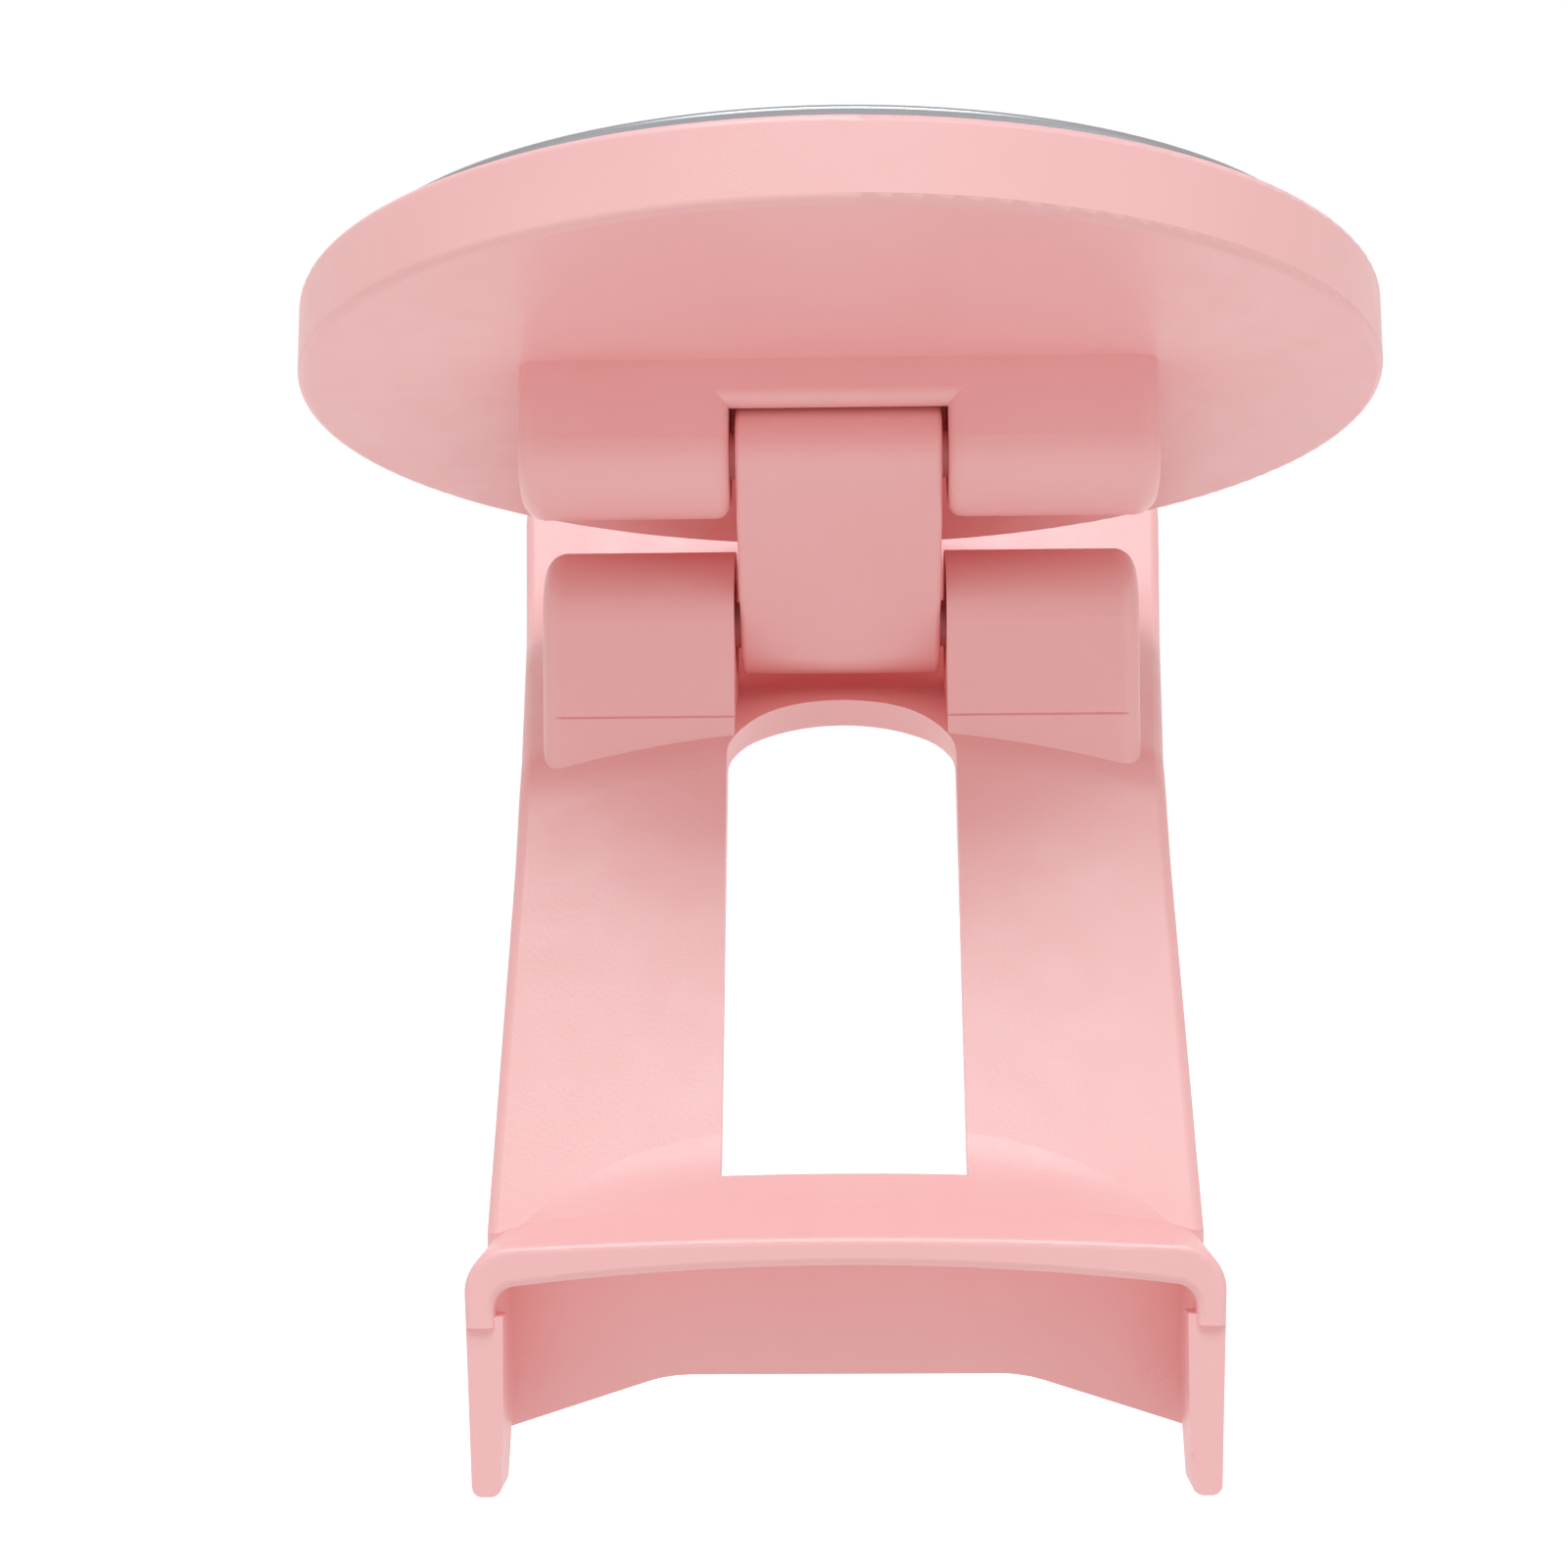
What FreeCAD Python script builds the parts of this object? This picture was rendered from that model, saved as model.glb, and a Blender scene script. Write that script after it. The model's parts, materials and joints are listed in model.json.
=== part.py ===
import FreeCAD, Part
import math
import os
import Sketcher

# Phone holder that snaps onto the carry loop of a water bottle: a moulded clip, a short
# double-hinged link and a round magnetic pad.
# Frame: X across the clip, Y from the clip's mouth towards its tail, Z up.
# The origin is the middle of the mouth, on the underside of its roof at the front edge.

# Driving sizes, in millimetres and degrees
SIZES = {
    # Clip seen from the side: stop wall, leaning plate, shelf and upturned tail
    "crest_depth": 6.2,
    "crest_height": 3.45,
    "stop_drop": 9.6,
    "plate_lean": 28.6,
    "plate_rise": 23.05,
    "bend_inner": 1.5,
    "shelf_slope": 17.0,
    "shelf_run": 33.0,
    "tail_slope": 62.0,
    "tail_rise": 8.6,
    "tail_radius": 9.0,
    # Clip section and plan
    "clip_wall": 2.0,
    "skirt_depth": 3.0,
    "skirt_wall": 1.6,
    "crown_radius": 56.0,
    "crest_width": 35.9,
    "waist_narrow": 1.6,
    "waist_round": 40.0,
    "tail_flare": 5.9,
    "edge_round": 0.7,
    # Hollow blend along the crest
    "blend_reach": 3.6,
    "blend_fade": 0.93,
    "blend_inset": 1.95,
    "blend_sink": 0.04,
    # Level and falling stretches of the stop wall's lower edge
    "trim_flat": 17.4,
    "trim_angle": 17.8,
    "trim_round": 7.0,
    # Mouth at the clip's foot
    "mouth_flare": 0.2,
    "roof_wall": 1.45,
    "mouth_sag": 0.42,
    "hood_round": 2.2,
    "mouth_round": 1.0,
    "lip_round": 0.4,
    "leg_wall": 1.45,
    "leg_length": 10.75,
    "leg_draft": 0.35,
    "leg_foot": 2.6,
    "leg_slant": 5.5,
    "foot_round": 0.5,
    "seam_drop": 2.7,
    "seam_step": 0.25,
    "rib_top": 0.45,
    "rib_foot": 0.42,
    "rib_drop": 2.2,
    "rib_length": 6.5,
    "rib_depth": 1.4,
    # Window in the plate
    "window_width": 12.2,
    "window_over": 2.24,
    "window_arch": 6.7,
    "window_round": 2.0,
    # Ears and lower hinge
    "ear_radius": 4.0,
    "ear_height": 5.1,
    "ear_inset": 1.1,
    "ear_play": 0.32,
    "ear_round": 1.2,
    "ear_groove": 0.12,
    # Link between the two hinges
    "link_length": 10.8,
    "link_lean": 37.7,
    "link_width": 10.75,
    "link_radius": 2.7,
    "link_round": 0.3,
    # Hinge pins
    "pin_radius": 1.25,
    "pin_play": 0.05,
    "pin_inset": 0.5,
    "pin_chamfer": 0.2,
    "turn_play": 0.35,
    # Hinge block moulded on the pad
    "block_radius": 3.3,
    "block_over": 1.2,
    "block_round": 1.2,
    "notch_play": 0.32,
    "notch_web": 2.4,
    "notch_round": 0.8,
    # Pad
    "pad_radius": 29.0,
    "pad_thickness": 4.3,
    "pad_tilt": 10.65,
    "pad_offset": 4.45,
    "pad_stand": 4.2,
    "rim_round": 0.45,
    # Face plate, magnets and back iron in the pad
    "rim_width": 1.8,
    "face_thickness": 1.7,
    "face_seat": 0.5,
    "face_play": 0.15,
    "face_round": 0.3,
    "magnet_margin": 1.1,
    "magnet_width": 4.0,
    "magnet_height": 2.0,
    "magnet_gap": 0.6,
    "magnet_play": 0.15,
    "iron_height": 0.6,
}
MAGNET_COUNT = 16
# Two places count as the same within this distance
NEAR = 0.001

V = FreeCAD.Vector
SIDE = FreeCAD.Rotation(V(1, 1, 1), 120)
FRONT = FreeCAD.Rotation(V(1, 0, 0), 90)
PLAN = FreeCAD.Rotation()

doc = FreeCAD.newDocument("phone_holder")
sheet = doc.addObject("Spreadsheet::Sheet", "Sizes")
for row, (alias, value) in enumerate(SIZES.items(), start=1):
    sheet.set(f"A{row}", alias)
    sheet.set(f"B{row}", str(value))
    sheet.setAlias(f"B{row}", alias)
doc.recompute()


def size(alias):
    """A driving size as a number, read from the sheet."""
    return float(sheet.get(alias))


def number(expression):
    """The present value of an expression in the sheet's sizes."""
    return float(sheet.evalExpression(expression))


def add(kind, name, bindings=None, **properties):
    """One document object with its properties set and its sizes bound to the sheet."""
    item = doc.addObject(kind, name)
    for key, value in properties.items():
        setattr(item, key, value)
    for key, expression in (bindings or {}).items():
        item.setExpression(key, expression)
    return item


def bind(sketch, name, kind, value, *where):
    """A named dimension of a sketch, bound to an expression."""
    index = sketch.addConstraint(Sketcher.Constraint(kind, *where, number(value)))
    sketch.renameConstraint(index, name)
    sketch.setExpression("Constraints." + name, value)


def pin_point(sketch, name, geometry, position, x, y):
    """Fix a point of a sketch at two expressions from the sketch's origin."""
    bind(sketch, name + "_x", "DistanceX", x, -1, 1, geometry, position)
    bind(sketch, name + "_y", "DistanceY", y, -1, 1, geometry, position)


def new_sketch(name, rotation, base=None):
    """An empty sketch on a plane, with its origin bound where expressions are given."""
    sketch = doc.addObject("Sketcher::SketchObject", name)
    sketch.Placement = FreeCAD.Placement(V(), rotation)
    for axis, expression in (base or {}).items():
        sketch.setExpression("Placement.Base." + axis, expression)
    return sketch


def join(sketch, *pairs):
    """Make pairs of points coincide."""
    for first, second in pairs:
        sketch.addConstraint(Sketcher.Constraint("Coincident", *first, *second))


def polygon(name, rotation, points, base=None):
    """A closed sketch with straight sides through points given as expressions."""
    sketch = new_sketch(name, rotation, base)
    corners = [V(number(x), number(y), 0) for x, y in points]
    count = len(corners)
    for index in range(count):
        sketch.addGeometry(Part.LineSegment(corners[index], corners[(index + 1) % count]), False)
    for index in range(count):
        join(sketch, ((index, 2), ((index + 1) % count, 1)))
    for index, (x, y) in enumerate(points):
        pin_point(sketch, f"corner{index}", index, 1, x, y)
    return sketch


def arched_section(name, depth, half, top, sag, bottom):
    """A closed section across the clip: flat foot, slightly drafted sides and an arched top."""
    shoulder = f"({top}) - ({sag})"
    foot_half = f"{half} - Sizes.leg_draft"
    radius = f"(({half})^2 + ({sag})^2) / (2 * ({sag}))"
    x, foot_x = number(half), number(foot_half)
    high, low, apex = number(shoulder), number(bottom), number(top)
    sketch = new_sketch(name, FRONT, {"y": depth})
    arc = Part.Arc(V(x, high, 0), V(0, apex, 0), V(-x, high, 0))
    sketch.addGeometry(Part.LineSegment(V(-foot_x, low, 0), V(foot_x, low, 0)), False)
    sketch.addGeometry(Part.LineSegment(V(foot_x, low, 0), V(x, high, 0)), False)
    sketch.addGeometry(arc, False)
    sketch.addGeometry(Part.LineSegment(V(-x, high, 0), V(-foot_x, low, 0)), False)
    join(sketch, ((0, 2), (1, 1)), ((1, 2), (2, 1)), ((2, 2), (3, 1)), ((3, 2), (0, 1)))
    pin_point(sketch, "left_foot", 0, 1, f"-({foot_half})", bottom)
    pin_point(sketch, "right_foot", 0, 2, foot_half, bottom)
    pin_point(sketch, "right_shoulder", 1, 2, half, shoulder)
    pin_point(sketch, "left_shoulder", 3, 1, f"-({half})", shoulder)
    bind(sketch, "arch", "Radius", radius, 2)
    return sketch


def extrude(name, base, length, direction=V(1, 0, 0), symmetric=False, bindings=None):
    """A solid pulled from a sketch or face along a direction."""
    bound = {"LengthFwd": length}
    bound.update(bindings or {})
    return add("Part::Extrusion", name, bound, Base=base, DirMode="Custom", Dir=direction,
               Solid=True, Symmetric=symmetric)


def fuse(name, *shapes):
    return add("Part::MultiFuse", name, Shapes=list(shapes), Refine=True)


def cut(name, base, tool):
    return add("Part::Cut", name, Base=base, Tool=tool, Refine=True)


def common(name, *shapes):
    return add("Part::MultiCommon", name, Shapes=list(shapes), Refine=True)


def box(name, x, y, z):
    """A box between pairs of expressions on each axis."""
    bindings = {}
    for axis, side, (low, high) in zip("xyz", ("Length", "Width", "Height"), (x, y, z)):
        bindings["Placement.Base." + axis] = low
        bindings[side] = f"({high}) - ({low})"
    return add("Part::Box", name, bindings)


def cross_bar(name, radius, span, y="0", z="0", start=None):
    """A cylinder along X, centred on the middle plane unless a start is given."""
    turned = FreeCAD.Placement(V(), FreeCAD.Rotation(V(0, 1, 0), 90))
    where = {"Placement.Base.x": start or f"-({span}) / 2", "Placement.Base.y": y, "Placement.Base.z": z}
    return add("Part::Cylinder", name, {"Radius": radius, "Height": span, **where}, Placement=turned)


def round_edges(name, base, alias, chosen):
    """Round the edges of a solid that a test picks out."""
    doc.recompute()
    radius = size(alias)
    rounded = add("Part::Fillet", name, Base=base)
    rounded.Edges = [(index, radius, radius) for index, edge in enumerate(base.Shape.Edges, start=1)
                     if chosen(edge)]
    return rounded


def spans(edge, axis):
    """How far an edge reaches along one axis."""
    bounds = edge.BoundBox
    return {"x": bounds.XLength, "y": bounds.YLength, "z": bounds.ZLength}[axis]


def lies_at(edge, axis, place):
    """Whether a whole edge lies in one plane across an axis, on either side of the middle."""
    bounds = edge.BoundBox
    low, high = {"x": (bounds.XMin, bounds.XMax), "y": (bounds.YMin, bounds.YMax),
                 "z": (bounds.ZMin, bounds.ZMax)}[axis]
    return abs(abs(low) - place) < NEAR and abs(abs(high) - place) < NEAR


# Places that several pieces share, as expressions in the driving sizes
BEND_Y = "(Sizes.crest_depth + Sizes.plate_rise * tan(Sizes.plate_lean))"
BEND_Z = "(Sizes.crest_height + Sizes.plate_rise)"
BEND_RADIUS = "(Sizes.bend_inner + Sizes.clip_wall + Sizes.skirt_depth)"
HEEL_Y = f"({BEND_Y} + Sizes.shelf_run)"
HEEL_Z = f"({BEND_Z} + Sizes.shelf_run * tan(Sizes.shelf_slope))"
TAIL_Y = f"({HEEL_Y} + Sizes.tail_rise / tan(Sizes.tail_slope))"
TAIL_Z = f"({HEEL_Z} + Sizes.tail_rise)"
LOWER_Y = f"({BEND_Y} + Sizes.ear_radius)"
LOWER_Z = f"({BEND_Z} + Sizes.ear_height)"
UPPER_Y = f"({LOWER_Y} - Sizes.link_length * sin(Sizes.link_lean))"
UPPER_Z = f"({LOWER_Z} + Sizes.link_length * cos(Sizes.link_lean))"
PAD_Y = f"{UPPER_Y} + Sizes.pad_offset * cos(Sizes.pad_tilt) + Sizes.pad_stand * sin(Sizes.pad_tilt)"
PAD_Z = f"{UPPER_Z} - Sizes.pad_offset * sin(Sizes.pad_tilt) + Sizes.pad_stand * cos(Sizes.pad_tilt)"
STOP_FOOT = "(Sizes.crest_height - Sizes.stop_drop)"
CREST_HALF = "(Sizes.crest_width / 2)"
WAIST_HALF = f"({CREST_HALF} - Sizes.waist_narrow / 2)"
TAIL_HALF = f"({CREST_HALF} + Sizes.tail_flare / 2)"
MOUTH_HALF = f"({CREST_HALF} + Sizes.mouth_flare / 2)"
EAR_HALF = f"({WAIST_HALF} - Sizes.ear_inset)"
EAR_GAP_HALF = "(Sizes.link_width / 2 + Sizes.ear_play)"
BLOCK_HALF = f"({EAR_HALF} + Sizes.block_over / 2)"
NOTCH_WIDTH = "(Sizes.link_width + 2 * Sizes.notch_play)"
WINDOW_LENGTH = "(Sizes.plate_rise / cos(Sizes.plate_lean) + Sizes.window_over)"
MARGIN = "Sizes.skirt_depth + Sizes.clip_wall"
CLIMB = "((Sizes.crest_height - Sizes.roof_wall) / Sizes.crest_depth)"
# Side views of the clip stand at these shares of its crown's half width
STATIONS = (-1, -0.5, 0, 0.5, 1)
MIDDLE = STATIONS.index(0)


def fallen(x):
    """How far the crowned clip has fallen at a place across it."""
    return f"({x})^2 / (2 * Sizes.crown_radius)"


def clip_path(name, share):
    """The clip's outer face seen from the side, as one open line at a station across it."""
    x = f"{share} * ({TAIL_HALF} + Sizes.clip_wall)"
    lean = math.radians(90 - size("plate_lean"))
    slope = math.radians(size("shelf_slope"))
    rise = math.radians(size("tail_slope"))
    crest = V(size("crest_depth"), size("crest_height"), 0)
    untrimmed = f"{STOP_FOOT} - Sizes.clip_wall"
    foot = V(crest.x, number(untrimmed), 0)
    bend = V(number(BEND_Y), number(BEND_Z), 0)
    heel = V(number(HEEL_Y), number(HEEL_Z), 0)
    tail = V(number(TAIL_Y), number(TAIL_Z), 0)
    along = [V(math.cos(angle), math.sin(angle), 0) for angle in (lean, slope, rise)]
    bend_radius = number(BEND_RADIUS)
    tail_radius = size("tail_radius")
    bend_reach = bend_radius * math.tan((lean - slope) / 2)
    heel_reach = tail_radius * math.tan((rise - slope) / 2)
    bend_in, bend_out = bend - along[0] * bend_reach, bend + along[1] * bend_reach
    heel_in, heel_out = heel - along[1] * heel_reach, heel + along[2] * heel_reach
    bend_centre = bend_in + V(along[0].y, -along[0].x, 0) * bend_radius
    heel_centre = heel_in + V(-along[1].y, along[1].x, 0) * tail_radius
    up = V(0, 0, 1)
    quarter = math.pi / 2
    sketch = new_sketch(name, SIDE, {"x": x, "z": "0 - " + fallen(x)})
    sketch.addGeometry(Part.LineSegment(foot, crest), False)
    sketch.addGeometry(Part.LineSegment(crest, bend_in), False)
    bend_arc = Part.Circle(bend_centre, up, bend_radius)
    sketch.addGeometry(Part.ArcOfCircle(bend_arc, slope + quarter, lean + quarter), False)
    sketch.addGeometry(Part.LineSegment(bend_out, heel_in), False)
    heel_arc = Part.Circle(heel_centre, up, tail_radius)
    sketch.addGeometry(Part.ArcOfCircle(heel_arc, slope - quarter, rise - quarter), False)
    sketch.addGeometry(Part.LineSegment(heel_out, tail), False)
    sketch.addGeometry(Part.Point(bend), True)
    sketch.addGeometry(Part.Point(heel), True)
    join(sketch, ((0, 2), (1, 1)))
    for first, second in (((1, 2), (2, 2)), ((2, 1), (3, 1)), ((3, 2), (4, 1)), ((4, 2), (5, 1))):
        sketch.addConstraint(Sketcher.Constraint("Tangent", *first, *second))
    for point, line in ((6, 1), (6, 3), (7, 3), (7, 5)):
        sketch.addConstraint(Sketcher.Constraint("PointOnObject", point, 1, line))
    pin_point(sketch, "foot", 0, 1, "Sizes.crest_depth", untrimmed)
    pin_point(sketch, "crest", 0, 2, "Sizes.crest_depth", "Sizes.crest_height")
    pin_point(sketch, "bend", 6, 1, BEND_Y, BEND_Z)
    pin_point(sketch, "heel", 7, 1, HEEL_Y, HEEL_Z)
    pin_point(sketch, "tail", 5, 2, TAIL_Y, TAIL_Z)
    bind(sketch, "bend_radius", "Radius", BEND_RADIUS, 2)
    bind(sketch, "tail_radius", "Radius", "Sizes.tail_radius", 4)
    return sketch


def set_back(name, lines, depth, fill):
    """Each side view's line set back by a depth, as a line or as the face between the two."""
    return [add("Part::Offset2D", f"{name}_{index}", {"Value": depth}, Source=line, Mode="Skin",
                Join="Intersection", Fill=fill) for index, line in enumerate(lines)]


def crowned(name, faces):
    """One solid that runs smoothly through the side views across the clip."""
    return add("Part::Loft", name, Sections=faces, Solid=True)


def plan_prism(name, inset):
    """The clip's plan outline, drawn in by an inset, as an upright prism."""
    crest = f"{CREST_HALF} - ({inset})"
    waist = f"{WAIST_HALF} - ({inset})"
    tail = f"{TAIL_HALF} - ({inset})"
    front = f"Sizes.crest_depth - ({MARGIN})"
    rear = f"{TAIL_Y} + {MARGIN}"
    points = [(f"-({crest})", front), (crest, front), (waist, BEND_Y), (tail, TAIL_Y), (tail, rear),
              (f"-({tail})", rear), (f"-({tail})", TAIL_Y), (f"-({waist})", BEND_Y)]
    sketch = polygon(name + "_outline", PLAN, points)
    height = f"2 * ({TAIL_Z} + Sizes.leg_length)"
    prism = extrude(name + "_prism", sketch, height, V(0, 0, 1), symmetric=True)
    waist_y = number(BEND_Y)

    def at_waist(edge):
        upright = spans(edge, "z") > size("leg_length")
        return upright and abs(edge.CenterOfMass.y - waist_y) < NEAR

    return round_edges(name, prism, "waist_round", at_waist)


def clip_shell(lines):
    """The clip's plate, stop wall and tail with the skirts along their edges, still filled."""
    band = crowned("band", set_back("band_face", lines, MARGIN, True))
    block = common("clip_block", band, plan_prism("clip_plan", "0"))
    half = number(WAIST_HALF) - size("edge_round")

    def outer_rim(edge):
        lengthwise = spans(edge, "x") < spans(edge, "y") + spans(edge, "z")
        return abs(edge.CenterOfMass.x) > half and lengthwise and on_line(edge, lines[MIDDLE])

    rounded = round_edges("clip_rim", block, "edge_round", outer_rim)
    return cut("clip_shell", rounded, stop_trim())


def on_line(edge, line):
    """Whether an edge runs along the clip's outer face and not along the skirts' foot."""
    middle = edge.valueAt((edge.FirstParameter + edge.LastParameter) / 2)
    place = V(middle.y, middle.z + number(fallen(middle.x)), 0)
    flat = line.Shape.copy()
    flat.Placement = FreeCAD.Placement()
    return flat.distToShape(Part.Vertex(place))[0] < size("edge_round")


def stop_trim():
    """What is cut away under the stop wall: level in the middle and falling towards the legs."""
    flat = "Sizes.trim_flat / 2"
    wide = "Sizes.crest_width"
    fall = f"{STOP_FOOT} - ({wide} - {flat}) * tan(Sizes.trim_angle)"
    low = f"{fall} - Sizes.leg_length"
    outline = polygon("stop_trim_outline", FRONT, [
        (f"-{flat}", STOP_FOOT), (f"-{wide}", fall), (f"-{wide}", low), (wide, low), (wide, fall),
        (flat, STOP_FOOT)])
    block = extrude("stop_trim_block", outline, BEND_Y, V(0, 1, 0))
    level = number(STOP_FOOT)
    return round_edges("stop_trim", block, "trim_round",
                       lambda edge: lies_at(edge, "z", abs(level)) and spans(edge, "y") > spans(edge, "x"))


def handle_channel(lines):
    """The space behind the plate, between the skirts, for the bottle's loop."""
    skins = set_back("channel_line", lines, "Sizes.clip_wall", False)
    faces = set_back("channel_face", skins, "Sizes.skirt_depth + Sizes.bend_inner / 2", True)
    return common("channel", crowned("channel_band", faces), plan_prism("channel_plan", "Sizes.skirt_wall"))


def hood():
    """The mouth's roof and legs."""
    foot = "-Sizes.leg_length"
    below = "-Sizes.leg_length - Sizes.leg_wall"
    front = "-Sizes.leg_wall"
    back = "Sizes.crest_depth + Sizes.clip_wall / 2"
    front_rise = f"{CLIMB} * ({front})"
    back_rise = f"{CLIMB} * ({back})"
    crest_top = f"Sizes.roof_wall + {back_rise}"
    sag = "Sizes.mouth_sag"
    crest_sag = f"{sag} + ({fallen(CREST_HALF)} - {sag}) * ({back}) / Sizes.crest_depth"
    mouth_space = f"{MOUTH_HALF} - Sizes.leg_wall"
    crest_space = f"{CREST_HALF} - Sizes.leg_wall"
    roof = add("Part::Loft", "hood_roof", Solid=True, Ruled=True, Sections=[
        arched_section("mouth_outer", "0", MOUTH_HALF, "Sizes.roof_wall", sag, foot),
        arched_section("crest_outer", back, CREST_HALF, crest_top, crest_sag, foot)])
    space = add("Part::Loft", "mouth_space", Solid=True, Ruled=True, Sections=[
        arched_section("mouth_inner", front, mouth_space, front_rise, sag, below),
        arched_section("crest_inner", back, crest_space, back_rise, crest_sag, below)])

    def shoulder(edge):
        return edge.CenterOfMass.z > -size("leg_length") / 2 and spans(edge, "y") > size("leg_wall")

    roof = round_edges("hood_rounded", roof, "hood_round", shoulder)
    space = round_edges("mouth_rounded", space, "mouth_round", shoulder)
    rear = f"({back}) + Sizes.leg_wall"
    slant = polygon("leg_slant", SIDE, [
        ("Sizes.leg_foot", foot), (rear, foot), (rear, f"{foot} + Sizes.leg_slant + Sizes.leg_wall")])
    heel = extrude("leg_heel", slant, f"4 * {MOUTH_HALF}", symmetric=True)
    wide = (f"-2 * {MOUTH_HALF}", f"2 * {MOUTH_HALF}")
    step = box("leg_step", wide, (front, "Sizes.seam_step"), (below, "-Sizes.seam_drop"))
    legs = cut("hood_legs", roof, fuse("hood_spaces", space, heel))
    sole = size("leg_length")

    def foot_side(edge):
        return lies_at(edge, "z", sole) and spans(edge, "y") > spans(edge, "x")

    legs = round_edges("hood_feet", legs, "foot_round", foot_side)
    lip = round_edges("hood_lip", legs, "lip_round", lambda edge: lies_at(edge, "y", 0))
    return cut("hood", lip, step)


def crest_fill():
    """A hollow blend between the mouth's roof and the plate, fading out towards its ends."""
    end = f"({CREST_HALF} - Sizes.blend_inset)"
    flattening = f"({fallen(CREST_HALF)} - Sizes.mouth_sag) / {CREST_HALF}^2 / Sizes.crest_depth"
    sections = []
    for index, share in enumerate(STATIONS):
        x = f"({share} * {end})"
        reach = f"(Sizes.blend_reach * (1 - Sizes.blend_fade * ({share})^4))"
        slope = f"({CLIMB} - {flattening} * {x}^2)"
        sections.append(blend_section(f"crest_fill_{index}", x, reach, slope))
    return crowned("crest_fill", sections)


def blend_section(name, x, reach, slope):
    """The blend seen from the side: an arc from the roof to the plate, closed inside the walls."""
    up = "cos(Sizes.plate_lean)"
    back = "sin(Sizes.plate_lean)"
    steep = f"sqrt(1 + {slope}^2)"
    roof = (f"Sizes.crest_depth - {reach} / {steep}",
            f"Sizes.crest_height - {reach} * {slope} / {steep} - Sizes.blend_sink")
    plate = (f"Sizes.crest_depth + {reach} * {back} + Sizes.blend_sink",
             f"Sizes.crest_height + {reach} * {up}")
    sunk = ("Sizes.crest_depth + Sizes.clip_wall / 2", "Sizes.crest_height - Sizes.clip_wall / 2")
    radius = f"{reach} * ({steep} + {back} + {slope} * {up}) / ({up} - {slope} * {back})"
    low, high, corner = (V(number(y), number(z), 0) for y, z in (roof, plate, sunk))
    chord = high - low
    curve = number(radius)
    sag = curve - math.sqrt(curve ** 2 - (chord.Length / 2) ** 2)
    deepest = (low + high) / 2 + V(chord.y, -chord.x, 0).normalize() * sag
    sketch = new_sketch(name, SIDE, {"x": x, "z": "0 - " + fallen(x)})
    sketch.addGeometry(Part.Arc(low, deepest, high), False)
    sketch.addGeometry(Part.LineSegment(high, corner), False)
    sketch.addGeometry(Part.LineSegment(corner, low), False)
    join(sketch, ((0, 2), (1, 1)), ((1, 2), (2, 1)), ((2, 2), (0, 1)))
    pin_point(sketch, "plate", 1, 1, *plate)
    pin_point(sketch, "sunk", 1, 2, *sunk)
    pin_point(sketch, "roof", 2, 2, *roof)
    bind(sketch, "hollow", "Radius", radius, 0)
    return sketch


def snap_ribs():
    """A shallow rib inside each leg that snaps behind the loop's edge."""
    ribs = []
    inner = f"({MOUTH_HALF} - Sizes.leg_wall)"
    sunk = f"({inner} + Sizes.leg_wall / 2)"
    high = "-Sizes.rib_drop"
    low = "-Sizes.rib_drop - Sizes.rib_length"
    for side, sign in (("left", "-"), ("right", "")):
        outline = polygon(f"rib_{side}_outline", FRONT, [
            (f"{sign}{sunk}", low), (f"{sign}({inner} - Sizes.rib_foot)", low),
            (f"{sign}({inner} - Sizes.rib_top)", high), (f"{sign}{sunk}", high)], {"y": "Sizes.seam_step"})
        ribs.append(extrude(f"rib_{side}", outline, "Sizes.rib_depth", V(0, 1, 0)))
    return ribs


def ears():
    """The two knuckles of the lower hinge, standing on the bend of the clip."""
    made = []
    front = f"{LOWER_Y} - Sizes.ear_radius"
    rear = f"{LOWER_Y} + Sizes.ear_radius"
    outer = number(EAR_HALF)
    sunk = f"{BEND_Z} - 2 * Sizes.clip_wall"
    seat = f"{BEND_Z} - Sizes.clip_wall"
    for side, sign in (("left", -1), ("right", 1)):
        reach = f"{EAR_HALF} - {EAR_GAP_HALF}"
        start = EAR_GAP_HALF if sign > 0 else f"-{EAR_HALF}"
        points = [(front, LOWER_Z), (front, sunk), (rear, seat), (rear, LOWER_Z)]
        post = extrude(f"ear_{side}_post", polygon(f"ear_{side}_side", SIDE, points, {"x": start}), reach)
        barrel = cross_bar(f"ear_{side}_barrel", "Sizes.ear_radius", reach, LOWER_Y, LOWER_Z, start)
        knuckle = fuse(f"ear_{side}", post, barrel)

        def outer_end(edge):
            return lies_at(edge, "x", outer) and edge.BoundBox.ZMax > number(BEND_Z)

        made.append(round_edges(f"ear_{side}_rounded", knuckle, "ear_round", outer_end))
    return made


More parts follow.
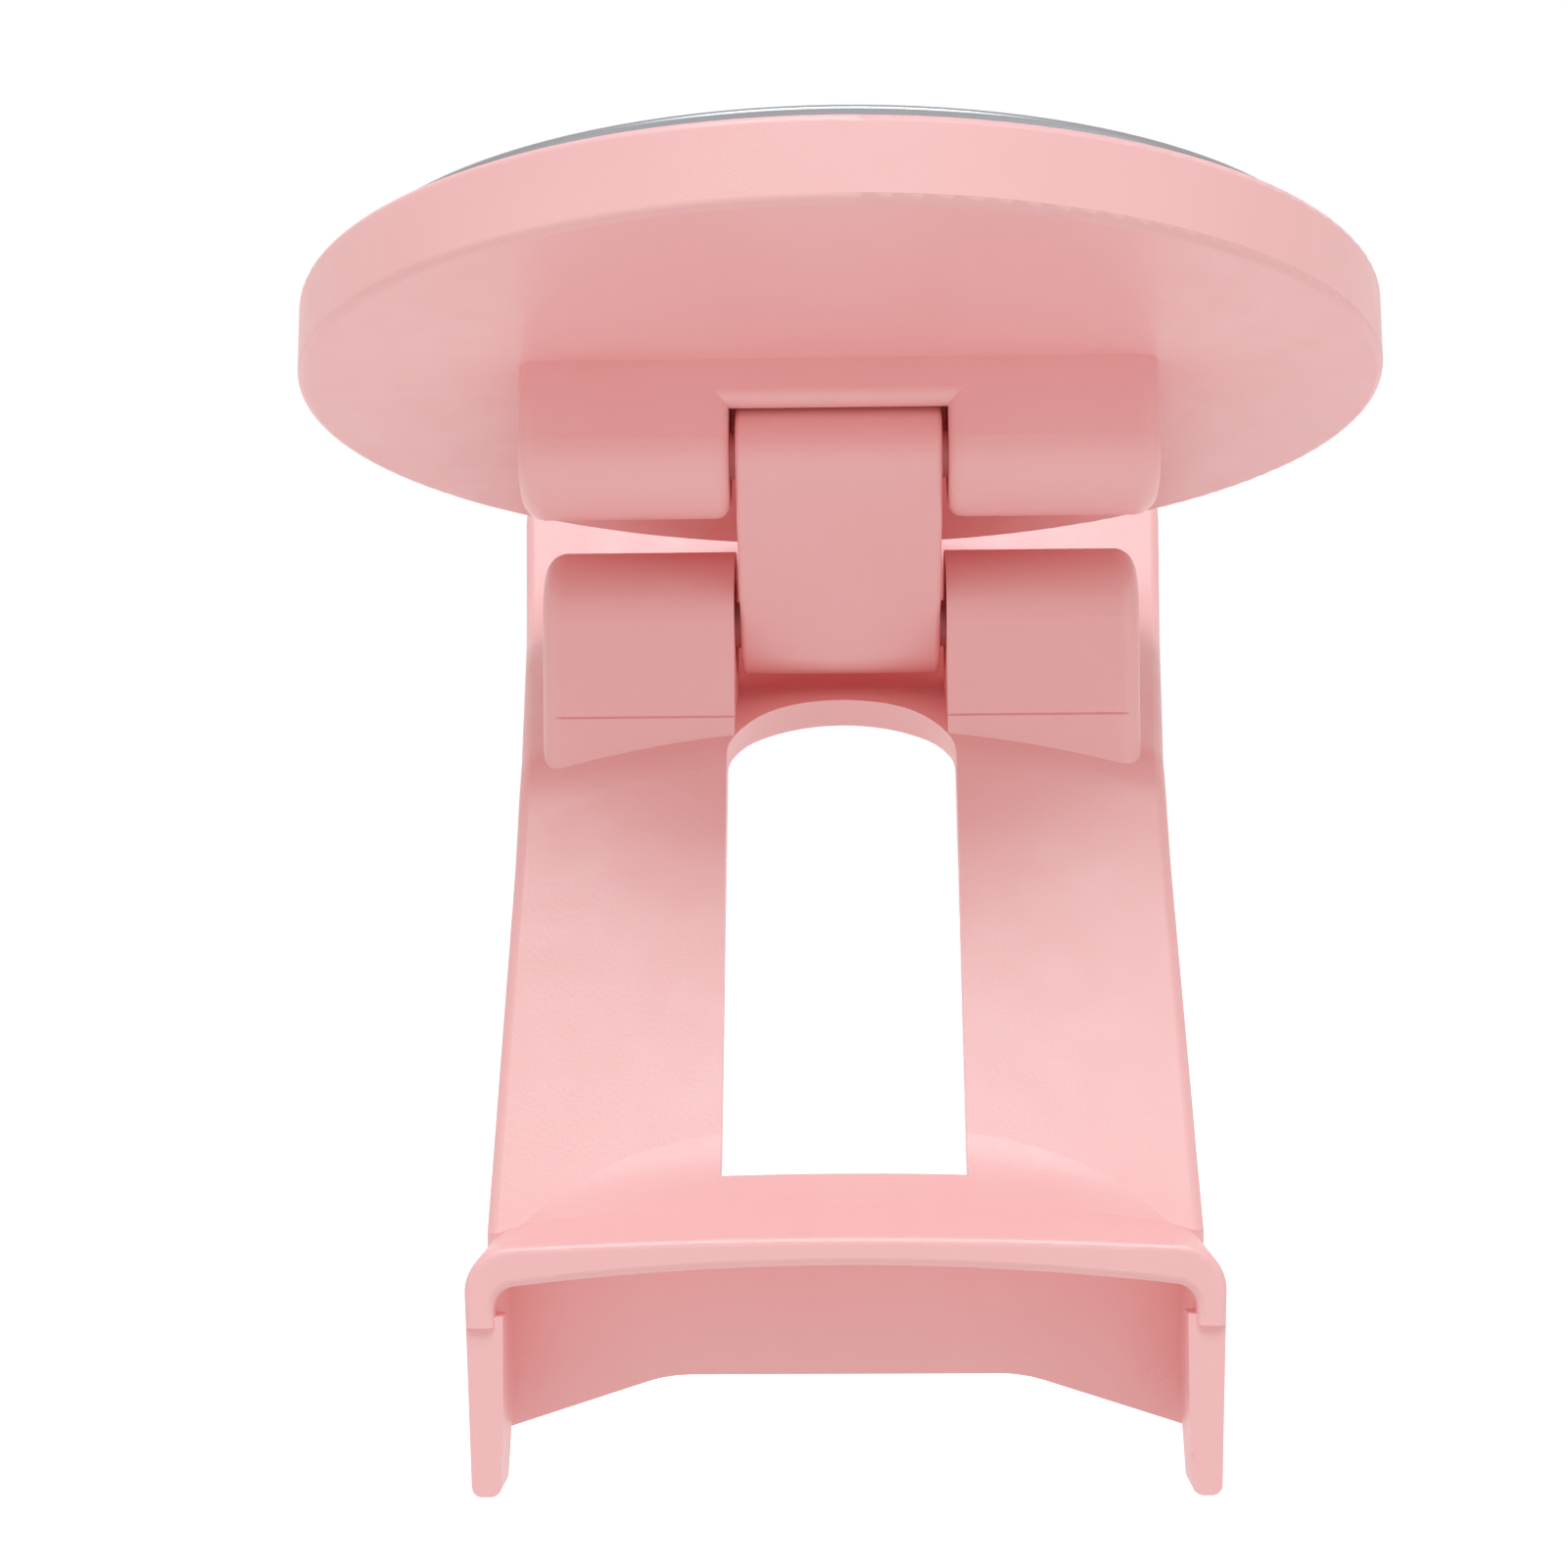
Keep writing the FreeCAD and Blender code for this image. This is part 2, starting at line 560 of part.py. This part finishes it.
def window():
    """The arched window, cut square to the leaning plate."""
    half = "Sizes.window_width / 2"
    rise = f"Sizes.window_arch - sqrt(Sizes.window_arch^2 - ({half})^2)"
    shoulder = f"{WINDOW_LENGTH} - ({rise})"
    x, high, apex = number(half), number(shoulder), number(WINDOW_LENGTH)
    sketch = new_sketch("window_outline", FRONT, {"y": "Sizes.crest_depth", "z": "Sizes.crest_height"})
    sketch.setExpression("Placement.Rotation.Angle", "90 - Sizes.plate_lean")
    sketch.addGeometry(Part.LineSegment(V(-x, 0, 0), V(x, 0, 0)), False)
    sketch.addGeometry(Part.LineSegment(V(x, 0, 0), V(x, high, 0)), False)
    sketch.addGeometry(Part.Arc(V(x, high, 0), V(0, apex, 0), V(-x, high, 0)), False)
    sketch.addGeometry(Part.LineSegment(V(-x, high, 0), V(-x, 0, 0)), False)
    join(sketch, ((0, 2), (1, 1)), ((1, 2), (2, 1)), ((2, 2), (3, 1)), ((3, 2), (0, 1)))
    pin_point(sketch, "left_sill", 0, 1, f"-({half})", "0")
    pin_point(sketch, "right_sill", 0, 2, half, "0")
    pin_point(sketch, "right_spring", 1, 2, half, shoulder)
    pin_point(sketch, "left_spring", 3, 1, f"-({half})", shoulder)
    bind(sketch, "arch", "Radius", "Sizes.window_arch", 2)
    lean = {"Dir.y": "-cos(Sizes.plate_lean)", "Dir.z": "sin(Sizes.plate_lean)"}
    opening = extrude("window_block", sketch, f"4 * ({MARGIN})", V(0, -1, 0), symmetric=True, bindings=lean)

    def top_corner(edge):
        through = spans(edge, "y") > spans(edge, "z")
        return through and edge.CenterOfMass.z > number(BEND_Z) / 2

    return round_edges("window", opening, "window_round", top_corner)


def clip_body():
    """The whole clip as one moulding."""
    lines = [clip_path(f"clip_path_{index}", share) for index, share in enumerate(STATIONS)]
    solid = fuse("clip_solid", clip_shell(lines), hood(), crest_fill(), *ears())
    bore = cross_bar("lower_bore", "Sizes.pin_radius", f"2 * {EAR_HALF}", LOWER_Y, LOWER_Z)
    across = (f"-{EAR_HALF}", EAR_HALF)
    deep = (f"{BEND_Y} - Sizes.ear_groove", f"{BEND_Y} + Sizes.ear_groove")
    tall = (f"{BEND_Z} - Sizes.ear_groove / 2", f"{BEND_Z} + Sizes.ear_groove / 2")
    groove = box("ear_groove", across, deep, tall)
    spaces = fuse("clip_spaces", handle_channel(lines), window(), bore)
    open_clip = cut("clip_open", solid, spaces)
    return fuse("clip_body", cut("clip_grooved", open_clip, groove), *snap_ribs())


def hinge_link():
    """The flat link with a barrel at each end, standing in the lower ears."""
    radius = "Sizes.link_radius"
    wide = "Sizes.link_width"
    upper = {"y": "0", "z": "Sizes.link_length"}
    barrels = [cross_bar("link_foot", radius, wide), cross_bar("link_head", radius, wide, **upper)]
    half = f"({wide}) / 2"
    strap = box("link_strap", (f"-{half}", half), (f"-{radius}", radius), ("0", "Sizes.link_length"))
    blank = fuse("link_blank", *barrels, strap)
    end = size("link_width") / 2
    rounded = round_edges("link_rounded", blank, "link_round", lambda edge: lies_at(edge, "x", end))
    hole = "Sizes.pin_radius + Sizes.pin_play"
    bores = fuse("link_bores", cross_bar("link_foot_bore", hole, "2 * " + wide),
                 cross_bar("link_head_bore", hole, "2 * " + wide, **upper))
    link = cut("hinge_link", rounded, bores)
    place(link, LOWER_Y, LOWER_Z, "Sizes.link_lean")
    return link


def place(item, y, z, turn):
    """Stand a piece that was drawn about a hinge line at that line, turned about X."""
    item.Placement = FreeCAD.Placement(V(), FreeCAD.Rotation(V(1, 0, 0), 1))
    item.setExpression("Placement.Base.y", y)
    item.setExpression("Placement.Base.z", z)
    item.setExpression("Placement.Rotation.Angle", turn)


def hinge_pin(name, span, y, z):
    """A plain pin pressed into the outer knuckles and running in the link."""
    rod = cross_bar(name + "_rod", "Sizes.pin_radius", f"{span} - 2 * Sizes.pin_inset", y, z)
    doc.recompute()
    bevel = size("pin_chamfer")
    pin = add("Part::Chamfer", name, Base=rod)
    pin.Edges = [(index, bevel, bevel) for index, edge in enumerate(rod.Shape.Edges, start=1)
                 if spans(edge, "x") < bevel]
    return pin


SEAT = "(Sizes.pad_thickness - Sizes.face_seat)"
FACE_RADIUS = "(Sizes.pad_radius - Sizes.rim_width)"
MAGNET_OUTER = f"({FACE_RADIUS} - Sizes.magnet_margin)"
MAGNET_INNER = f"({MAGNET_OUTER} - Sizes.magnet_width)"
IRON_FLOOR = f"({SEAT} - Sizes.magnet_height - Sizes.iron_height)"


def on_pad(height):
    """Bindings that stand a round piece on the pad's axis at a height over the pad's back."""
    return {"Placement.Base.y": "Sizes.pad_offset", "Placement.Base.z": f"Sizes.pad_stand + {height}"}


def on_upper_hinge(piece):
    """Stand a piece that was drawn about the upper hinge line at that line."""
    place(piece, UPPER_Y, UPPER_Z, "-Sizes.pad_tilt")
    return piece


def turned_disc(name, section):
    """A round solid turned from half a section, about the pad's axis."""
    return add("Part::Revolution", name, Source=section, Axis=V(0, 0, 1), Angle=360, Solid=True)


def pad_shell():
    """The pad's moulded back with its hinge block, drawn about the upper hinge line."""
    groove_in = f"{MAGNET_INNER} - Sizes.magnet_play"
    groove_out = f"{MAGNET_OUTER} + Sizes.magnet_play"
    recess = f"{FACE_RADIUS} + Sizes.face_play"
    top = "Sizes.pad_thickness"
    section = polygon("pad_section", FRONT, [
        ("0", "0"), ("Sizes.pad_radius", "0"), ("Sizes.pad_radius", top), (recess, top), (recess, SEAT),
        (groove_out, SEAT), (groove_out, IRON_FLOOR), (groove_in, IRON_FLOOR), (groove_in, SEAT),
        ("0", SEAT)])
    across = 2 * size("pad_radius")

    def rim(edge):
        return abs(spans(edge, "x") - across) < NEAR and spans(edge, "z") < NEAR

    disc = round_edges("pad_disc", turned_disc("pad_turned", section), "rim_round", rim)
    for key, expression in on_pad("0").items():
        disc.setExpression(key, expression)
    width = f"2 * {BLOCK_HALF}"
    barrel = cross_bar("block_barrel", "Sizes.block_radius", width)
    neck = box("block_neck", (f"-{BLOCK_HALF}", BLOCK_HALF), ("-Sizes.block_radius", "Sizes.block_radius"),
               ("0", f"Sizes.pad_stand + {IRON_FLOOR} / 2"))
    end = number(BLOCK_HALF)

    def block_end(edge):
        return lies_at(edge, "x", end) and edge.BoundBox.ZMin < size("pad_stand")

    block = round_edges("block_rounded", fuse("block_blank", barrel, neck), "block_round", block_end)
    notch_half = f"{NOTCH_WIDTH} / 2"
    deep = ("-2 * Sizes.block_radius", "2 * Sizes.block_radius")
    slot = box("notch_slot", (f"-{notch_half}", notch_half), deep,
               ("-2 * Sizes.block_radius", "Sizes.pad_stand - Sizes.notch_web"))
    inner_end = number(notch_half)

    def notch_rim(edge):
        middle = edge.valueAt((edge.FirstParameter + edge.LastParameter) / 2)
        outside = math.hypot(middle.y, middle.z) > size("block_radius") - NEAR
        return lies_at(edge, "x", inner_end) and outside

    notched = round_edges("block_notched", cut("block_slotted", block, slot), "notch_round", notch_rim)
    round_room = cross_bar("notch_room", "Sizes.link_radius + Sizes.turn_play", NOTCH_WIDTH)
    bore = cross_bar("upper_bore", "Sizes.pin_radius", width)
    spaces = fuse("pad_spaces", slot, round_room, bore)
    return on_upper_hinge(cut("pad_shell", fuse("pad_solid", disc, notched), spaces))


def face_plate():
    """The brushed metal disc that the phone's magnets meet."""
    top = f"{SEAT} + Sizes.face_thickness"
    radius = FACE_RADIUS
    section = polygon("face_section", FRONT, [("0", SEAT), (radius, SEAT), (radius, top), ("0", top)])
    blank = turned_disc("face_blank", section)
    level = number(top)
    plate = round_edges("face_plate", blank, "face_round", lambda edge: lies_at(edge, "z", level))
    place(plate, PAD_Y, PAD_Z, "-Sizes.pad_tilt")
    return plate


def ring(name, inner, outer, height, level, bindings=None):
    """A flat ring, or an arc of one, on the pad's axis."""
    shared = {"Height": height, **on_pad(level), **(bindings or {})}
    disc = add("Part::Cylinder", name + "_disc", {"Radius": outer, **shared})
    eye = add("Part::Cylinder", name + "_eye", {"Radius": inner, "Height": height, **on_pad(level)})
    return disc, eye


def iron_ring():
    """The steel ring behind the magnets."""
    disc, eye = ring("iron", MAGNET_INNER, MAGNET_OUTER, "Sizes.iron_height", IRON_FLOOR)
    return on_upper_hinge(cut("back_iron", disc, eye))


def magnets():
    """The circle of arc magnets, each a piece of its own."""
    step = 360 / MAGNET_COUNT
    made = []
    gap = f"(Sizes.magnet_gap / {MAGNET_OUTER}) * 180 / pi"
    for index in range(MAGNET_COUNT):
        name = f"magnet_{index + 1:02d}"
        disc, eye = ring(name, MAGNET_INNER, MAGNET_OUTER, "Sizes.magnet_height",
                         f"{IRON_FLOOR} + Sizes.iron_height", {"Angle": f"{step} - {gap}"})
        disc.setExpression("Placement.Rotation.Angle", str(step * index))
        made.append(on_upper_hinge(cut(name, disc, eye)))
    return made


def build():
    """Every sub-part, each an object whose label names its file."""
    parts = [clip_body(), hinge_link(), pad_shell(), face_plate(), iron_ring()]
    parts.append(hinge_pin("lower_hinge_pin", f"2 * {EAR_HALF}", LOWER_Y, LOWER_Z))
    parts.append(hinge_pin("upper_hinge_pin", f"2 * {BLOCK_HALF}", UPPER_Y, UPPER_Z))
    return parts + magnets()


sub_parts = build()
doc.recompute()
for item in doc.Objects:
    if {"Invalid", "Error"} & set(item.State):
        raise RuntimeError(f"{item.Name} did not build: {item.State}")
os.makedirs("parts", exist_ok=True)
for part in sub_parts:
    shape = part.Shape
    if shape.isNull() or not shape.isValid():
        raise RuntimeError(f"{part.Label} has no sound shape")
    shape.exportStep(f"parts/{part.Label}.step")
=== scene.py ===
import json
import math

import bpy
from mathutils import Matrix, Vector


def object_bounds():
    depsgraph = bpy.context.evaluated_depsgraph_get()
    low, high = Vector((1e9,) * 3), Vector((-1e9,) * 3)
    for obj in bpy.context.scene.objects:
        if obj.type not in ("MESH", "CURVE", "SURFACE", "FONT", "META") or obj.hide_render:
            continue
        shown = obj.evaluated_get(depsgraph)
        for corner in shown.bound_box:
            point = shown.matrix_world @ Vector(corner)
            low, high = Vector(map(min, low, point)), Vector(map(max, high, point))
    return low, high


# Looks for the bottle phone holder: satin pink mouldings, a spun metal face plate, plated magnets
# and their steel ring, over a white studio floor. Lengths are in metres and angles in degrees.

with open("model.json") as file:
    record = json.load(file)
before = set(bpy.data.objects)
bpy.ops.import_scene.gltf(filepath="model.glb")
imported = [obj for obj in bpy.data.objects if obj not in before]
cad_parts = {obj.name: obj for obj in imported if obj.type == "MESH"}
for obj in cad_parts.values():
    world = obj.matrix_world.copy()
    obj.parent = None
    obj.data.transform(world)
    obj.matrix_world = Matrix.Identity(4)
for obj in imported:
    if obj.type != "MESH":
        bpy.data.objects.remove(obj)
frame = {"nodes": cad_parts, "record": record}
cad_low, cad_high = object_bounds()

# Camera of the photograph, in the part's own frame
PHOTO_WIDTH = 1601
FOCAL_PIXELS = 3000
SENSOR_WIDTH = 36
CAMERA_PLACE = (0.00059, -0.13822, 0.02287)
CAMERA_PITCH = 90
CAMERA_ROLL = 0.48
CAMERA_YAW = 1.34
CAMERA_NEAR = 0.01

# Floor below the part. Where it is seen, a glow lifts it to white, less under the part so that
# its shadow stays.
FLOOR_DROP = 0.07
FLOOR_REACH = 4.0
FLOOR_COLOUR = (0.96, 0.96, 0.96, 1)
GLOW_NEAR, GLOW_FAR = 0.12, 0.4
GLOW_LOW, GLOW_HIGH = 0.14, 0.7

# Light: cool softboxes in a warm room that looks white
WHITE = (1, 1, 1, 1)
ROOM_COLOUR = (0.54, 0.475, 0.46, 1)
LAMP_COLOUR = (0.66, 0.95, 1.0)
SOFTBOXES = (
    # name, place, width, height, power
    ("top_softbox", (0.0, -0.27, 0.62), 0.6, 0.3, 3.5),
    ("left_softbox", (-0.75, -0.45, 0.25), 0.5, 0.6, 0.4),
    ("right_softbox", (0.75, -0.45, 0.25), 0.5, 0.6, 0.6),
)
# Light goes round often between pale walls that face each other
DIFFUSE_BOUNCES = 16

# Moulded plastic: a faint cloud in its colour, an uneven polish and a fine grain
PLASTIC_COLOURS = ((0.915, 0.435, 0.425), (0.93, 0.46, 0.45))
PLASTIC_ROUGHNESS = (0.36, 0.46)
PLASTIC_SPECULAR = 0.8
CLOUD_SCALE = 70.0
POLISH_SCALE = 500.0
CLOUD_DETAIL = 3.0
GRAIN_SCALE = 5200.0
GRAIN_DEPTH = 0.000012

# Metals turned about the pad's axis, which is given by a point on it and its tilt about X
PAD_CENTRE = (0.0, 0.02233, 0.04886)
PAD_TILT = 10.65
METALS = {
    # slot: dark and light colour, roughness, rings in a metre
    "face_metal": (((0.3, 0.275, 0.29), (0.38, 0.35, 0.365)), 0.3, 9000.0),
    "back_iron": (((0.42, 0.42, 0.43), (0.56, 0.56, 0.57)), 0.42, 2500.0),
    "magnet_plating": (((0.66, 0.65, 0.62), (0.78, 0.77, 0.74)), 0.18, 600.0),
}
STREAKS_PER_RADIAN = 0.5
STREAK_DETAIL = 4.0
STREAK_ROUGHNESS = 0.65
STREAK_DEPTH = 0.000003
SMOOTHER, ROUGHER = 0.05, 0.07
ANISOTROPY = 0.5

# The parts of a noise factor over which a range and two colours are spread
SPREAD_ENDS = (0.25, 0.75)
RAMP_ENDS = (0.3, 0.7)


class Nodes:
    """The node tree of a material or world, with short ways to add and join nodes."""

    def __init__(self, owner):
        owner.use_nodes = True
        self.tree = owner.node_tree
        self.tree.nodes.clear()

    def add(self, kind, links=None, **settings):
        """One node, with its settings, and its inputs set to values or joined to other outputs."""
        node = self.tree.nodes.new(kind)
        for key, value in settings.items():
            setattr(node, key, value)
        for name, value in (links or {}).items():
            if isinstance(value, bpy.types.NodeSocket):
                self.tree.links.new(value, node.inputs[name])
            else:
                node.inputs[name].default_value = value
        return node

    def place(self):
        """The object's own coordinates."""
        return self.add("ShaderNodeTexCoord").outputs["Object"]

    def noise(self, where, scale, detail=2.0, roughness=0.5):
        """Noise over a coordinate, as a factor."""
        links = {"Vector": where, "Scale": scale, "Detail": detail, "Roughness": roughness}
        return self.add("ShaderNodeTexNoise", links).outputs["Fac"]

    def remap(self, value, start, end, low, high):
        """A value between start and end, as one between low and high."""
        links = {"Value": value, "From Min": start, "From Max": end, "To Min": low, "To Max": high}
        return self.add("ShaderNodeMapRange", links).outputs["Result"]

    def math(self, operation, *values):
        """One sum on one or two numbers."""
        links = dict(enumerate(values))
        return self.add("ShaderNodeMath", links, operation=operation).outputs[0]

    def vector(self, operation, *values):
        """One sum on one or two vectors."""
        links = dict(enumerate(values))
        return self.add("ShaderNodeVectorMath", links, operation=operation).outputs

    def ramp(self, factor, colours):
        """A dark and a light colour over the middle of a factor."""
        node = self.add("ShaderNodeValToRGB", {"Fac": factor})
        for point, place, colour in zip(node.color_ramp.elements, RAMP_ENDS, colours):
            point.position = place
            point.color = (*colour, 1)
        return node.outputs["Color"]

    def bump(self, height, depth):
        """A normal that follows a height of 0 to 1, with its depth in metres."""
        return self.add("ShaderNodeBump", {"Height": height, "Distance": depth}).outputs["Normal"]

    def seen(self):
        """1 for rays that show the background: to the camera, in metal and through glass."""
        paths = self.add("ShaderNodeLightPath").outputs
        mirrored = self.math("MAXIMUM", paths["Is Glossy Ray"], paths["Is Transmission Ray"])
        return self.math("MAXIMUM", paths["Is Camera Ray"], mirrored)

    def surface(self, shader, kind="ShaderNodeOutputMaterial"):
        """Join a shader to the output."""
        self.add(kind, {"Surface": shader})


def moulded_plastic(name):
    """Satin pink plastic."""
    material = bpy.data.materials.new(name)
    tree = Nodes(material)
    place = tree.place()
    cloud = tree.noise(place, CLOUD_SCALE, CLOUD_DETAIL)
    polish = tree.noise(place, POLISH_SCALE, CLOUD_DETAIL)
    grain = tree.noise(place, GRAIN_SCALE)
    shader = tree.add("ShaderNodeBsdfPrincipled", {
        "Base Color": tree.ramp(cloud, PLASTIC_COLOURS),
        "Roughness": tree.remap(polish, *SPREAD_ENDS, *PLASTIC_ROUGHNESS),
        "Normal": tree.bump(grain, GRAIN_DEPTH),
        "Specular IOR Level": PLASTIC_SPECULAR})
    tree.surface(shader.outputs["BSDF"])
    return material


def spun_metal(name, colours, rough, rings):
    """Metal turned about the pad's axis, with fine rings."""
    material = bpy.data.materials.new(name)
    tree = Nodes(material)
    centred = tree.vector("SUBTRACT", tree.place(), PAD_CENTRE)[0]
    level = tree.add("ShaderNodeVectorRotate", {
        "Vector": centred, "Angle": math.radians(PAD_TILT)}, rotation_type="X_AXIS").outputs[0]
    x, y, z = tree.add("ShaderNodeSeparateXYZ", {0: level}).outputs
    squares = tree.math("ADD", tree.math("MULTIPLY", x, x), tree.math("MULTIPLY", y, y))
    radius = tree.math("SQRT", squares)
    turn = tree.math("ARCTAN2", y, x)
    ring_place = tree.add("ShaderNodeCombineXYZ", {
        "X": tree.math("MULTIPLY", radius, rings),
        "Y": tree.math("MULTIPLY", turn, STREAKS_PER_RADIAN),
        "Z": tree.math("MULTIPLY", z, rings)}).outputs[0]
    streak = tree.noise(ring_place, 1.0, STREAK_DETAIL, STREAK_ROUGHNESS)
    shader = tree.add("ShaderNodeBsdfPrincipled", {
        "Base Color": tree.ramp(streak, colours),
        "Metallic": 1.0,
        "Roughness": tree.remap(streak, *SPREAD_ENDS, rough - SMOOTHER, rough + ROUGHER),
        "Normal": tree.bump(streak, STREAK_DEPTH),
        "Anisotropic": ANISOTROPY})
    tree.surface(shader.outputs["BSDF"])
    return material


def dress():
    """Give every CAD node the material of its slot in the record."""
    finishes = {"moulded_plastic": moulded_plastic("moulded_plastic")}
    for name, settings in METALS.items():
        finishes[name] = spun_metal(name, *settings)
    for subpart in frame["record"]["subparts"]:
        mesh = frame["nodes"][subpart["node"]].data
        mesh.materials.clear()
        mesh.materials.append(finishes[subpart["material_slot"]])


def floor():
    """A pale floor under the part, white to the camera and still taking its shadow."""
    mesh = bpy.data.meshes.new("studio_floor")
    level = cad_low.z - FLOOR_DROP
    corners = [(x * FLOOR_REACH, y * FLOOR_REACH, level)
               for x, y in ((-1, -1), (1, -1), (1, 1), (-1, 1))]
    mesh.from_pydata(corners, [], [(0, 1, 2, 3)])
    sheet = bpy.data.objects.new("studio_floor", mesh)
    bpy.context.scene.collection.objects.link(sheet)
    material = bpy.data.materials.new("studio_floor")
    tree = Nodes(material)
    flat = tree.vector("MULTIPLY", tree.place(), (1.0, 1.0, 0.0))[0]
    distance = tree.vector("LENGTH", flat)["Value"]
    lift = tree.remap(distance, GLOW_NEAR, GLOW_FAR, GLOW_LOW, GLOW_HIGH)
    strength = tree.math("MULTIPLY", tree.seen(), lift)
    paint = tree.add("ShaderNodeBsdfDiffuse", {"Color": FLOOR_COLOUR}).outputs[0]
    glow = tree.add("ShaderNodeEmission", {"Strength": strength}).outputs[0]
    tree.surface(tree.add("ShaderNodeAddShader", {0: paint, 1: glow}).outputs[0])
    mesh.materials.append(material)


def room():
    """Light from all round, which the camera and the metal see as white."""
    world = bpy.data.worlds.new("studio")
    bpy.context.scene.world = world
    tree = Nodes(world)
    colour = tree.add("ShaderNodeMixRGB", {
        "Fac": tree.seen(), "Color1": ROOM_COLOUR, "Color2": WHITE}).outputs[0]
    shader = tree.add("ShaderNodeBackground", {"Color": colour}).outputs[0]
    tree.surface(shader, "ShaderNodeOutputWorld")


def lamps():
    """Large softboxes that face the part."""
    middle = (cad_low + cad_high) / 2
    for name, place, width, height, power in SOFTBOXES:
        lamp = bpy.data.lights.new(name, "AREA")
        lamp.shape = "RECTANGLE"
        lamp.size, lamp.size_y, lamp.energy = width, height, power
        lamp.color = LAMP_COLOUR
        holder = bpy.data.objects.new(name, lamp)
        bpy.context.scene.collection.objects.link(holder)
        holder.location = place
        aim = middle - holder.location
        holder.rotation_euler = aim.to_track_quat("-Z", "Y").to_euler()


def camera():
    """The photograph's camera: level, looking along +Y."""
    lens = bpy.data.cameras.new("photo_camera")
    lens.sensor_width = SENSOR_WIDTH
    lens.lens = SENSOR_WIDTH * FOCAL_PIXELS / PHOTO_WIDTH
    lens.clip_start = CAMERA_NEAR
    holder = bpy.data.objects.new("photo_camera", lens)
    bpy.context.scene.collection.objects.link(holder)
    holder.location = CAMERA_PLACE
    holder.rotation_euler = [math.radians(a) for a in (CAMERA_PITCH, CAMERA_ROLL, CAMERA_YAW)]
    bpy.context.scene.camera = holder


dress()
floor()
room()
lamps()
camera()
bpy.context.scene.cycles.diffuse_bounces = DIFFUSE_BOUNCES
bpy.context.scene.view_settings.view_transform = "Standard"
